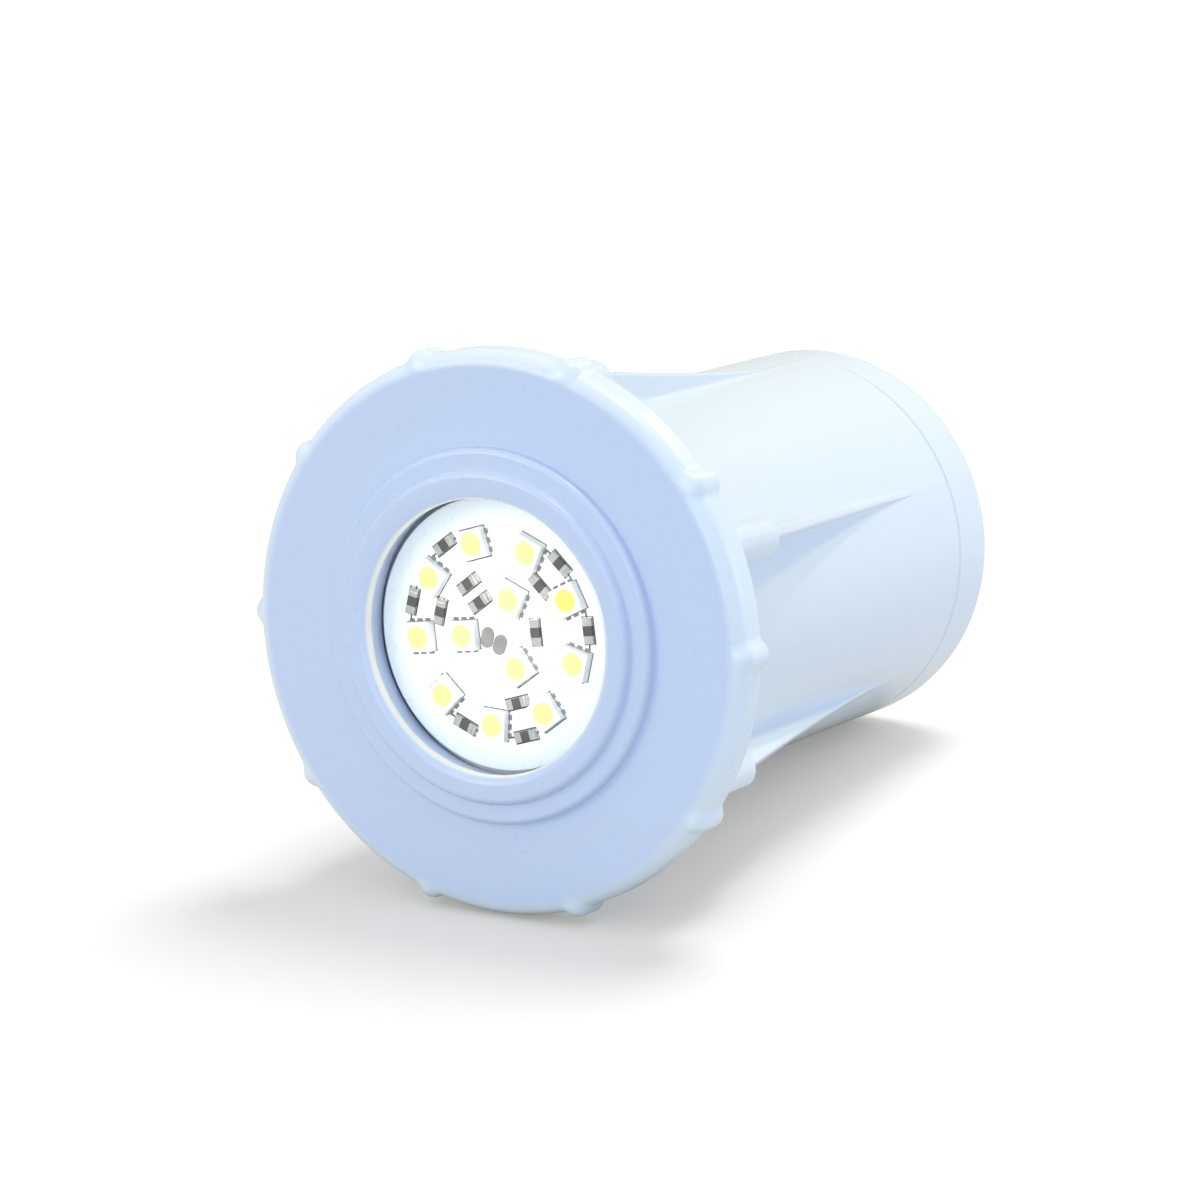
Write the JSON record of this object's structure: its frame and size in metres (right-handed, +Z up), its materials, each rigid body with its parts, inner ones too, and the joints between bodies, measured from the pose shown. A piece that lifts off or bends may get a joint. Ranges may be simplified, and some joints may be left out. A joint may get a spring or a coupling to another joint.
{
  "type": "underwater pool light",
  "caption": "Underwater pool light: flat round face ring with grips around a small LED window, on a ribbed cylindrical wall sleeve with a rear cap and cable gland.",
  "frame": {"origin": "on the light's axis at the plane of the pool wall, which is the flange's rear seat", "axes": "light shines along -Y, the rear cap and gland are towards +Y, +Z is up as installed in a vertical wall"},
  "size_m": [0.0986, 0.1386, 0.096],
  "materials": {
    "white_abs": "glossy moulded ABS",
    "ring_abs": "satin-gloss moulded ABS",
    "clear_lens": "polished clear polycarbonate",
    "seal_rubber": "matt EPDM",
    "gasket_silicone": "milky silicone",
    "board_white": "white solder mask",
    "led_white": "white LED package",
    "phosphor_yellow": "yellow phosphor gel",
    "phosphor_amber": "amber phosphor gel",
    "tinned_metal": "tin plating",
    "solder": "bright solder",
    "resistor_black": "printed resistor body",
    "pad_grey": "dull solder pad",
    "thermal_blue": "soft silicone pad",
    "sink_aluminium": "extruded aluminium",
    "carrier_grey": "moulded nylon",
    "steel_zinc": "stainless steel",
    "standoff_brass": "turned brass",
    "fr4_green": "green solder mask",
    "rectifier_epoxy": "black moulding epoxy",
    "capacitor_sleeve": "shrunk PVC sleeve",
    "terminal_green": "moulded polyamide",
    "wire_red": "red PVC insulation",
    "wire_black": "black PVC insulation",
    "gland_nylon": "light grey polyamide"
  },
  "bodies": {
    "sleeve": {"wall_sleeve": "white_abs", "led_board": "board_white", "led_packages": "led_white", "cool_white_phosphors": "phosphor_yellow", "amber_phosphor": "phosphor_amber", "led_leads": "tinned_metal", "resistor_bodies": "resistor_black", "resistor_solder": "solder", "wire_pads": "pad_grey", "thermal_pad": "thermal_blue", "heat_sink": "sink_aluminium", "led_carrier": "carrier_grey", "carrier_screws": "steel_zinc", "standoffs": "standoff_brass", "power_board": "fr4_green", "power_board_screws": "steel_zinc", "bridge_rectifier": "rectifier_epoxy", "smoothing_capacitor": "capacitor_sleeve", "input_terminal": "terminal_green", "terminal_screws": "steel_zinc", "red_wire": "wire_red", "black_wire": "wire_black", "rear_cap": "white_abs", "gland_washer": "seal_rubber", "gland_body": "gland_nylon", "gland_locknut": "gland_nylon"},
    "face_ring": {"face_ring": "ring_abs", "lens": "clear_lens", "lens_gasket": "gasket_silicone"},
    "face_o_ring": {"face_o_ring": "seal_rubber"},
    "gland_seal": {"gland_seal": "seal_rubber"},
    "gland_nut": {"gland_nut": "gland_nylon"}
  },
  "joints": [
    {"name": "face_ring_travel", "type": "slide", "parent": "sleeve", "child": "face_o_ring", "axis": [0, -1, 0], "range_m": [0, 0.009]},
    {"name": "face_ring_turn", "type": "hinge", "parent": "face_o_ring", "child": "face_ring", "pos_m": [0, 0, 0], "axis": [0, -1, 0], "range_deg": [0, 810]},
    {"name": "gland_nut_travel", "type": "slide", "parent": "sleeve", "child": "gland_seal", "axis": [0, 1, 0], "range_m": [0, 0.005]},
    {"name": "gland_nut_turn", "type": "hinge", "parent": "gland_seal", "child": "gland_nut", "pos_m": [0, 0.121, 0], "axis": [0, 1, 0], "range_deg": [0, 900]}
  ],
  "couplings": [
    {"joint": "face_ring_travel", "follows": "face_ring_turn", "m_per_rad": 0.0006366},
    {"joint": "gland_nut_turn", "follows": "gland_nut_travel", "rad_per_m": 3141.6}
  ]
}
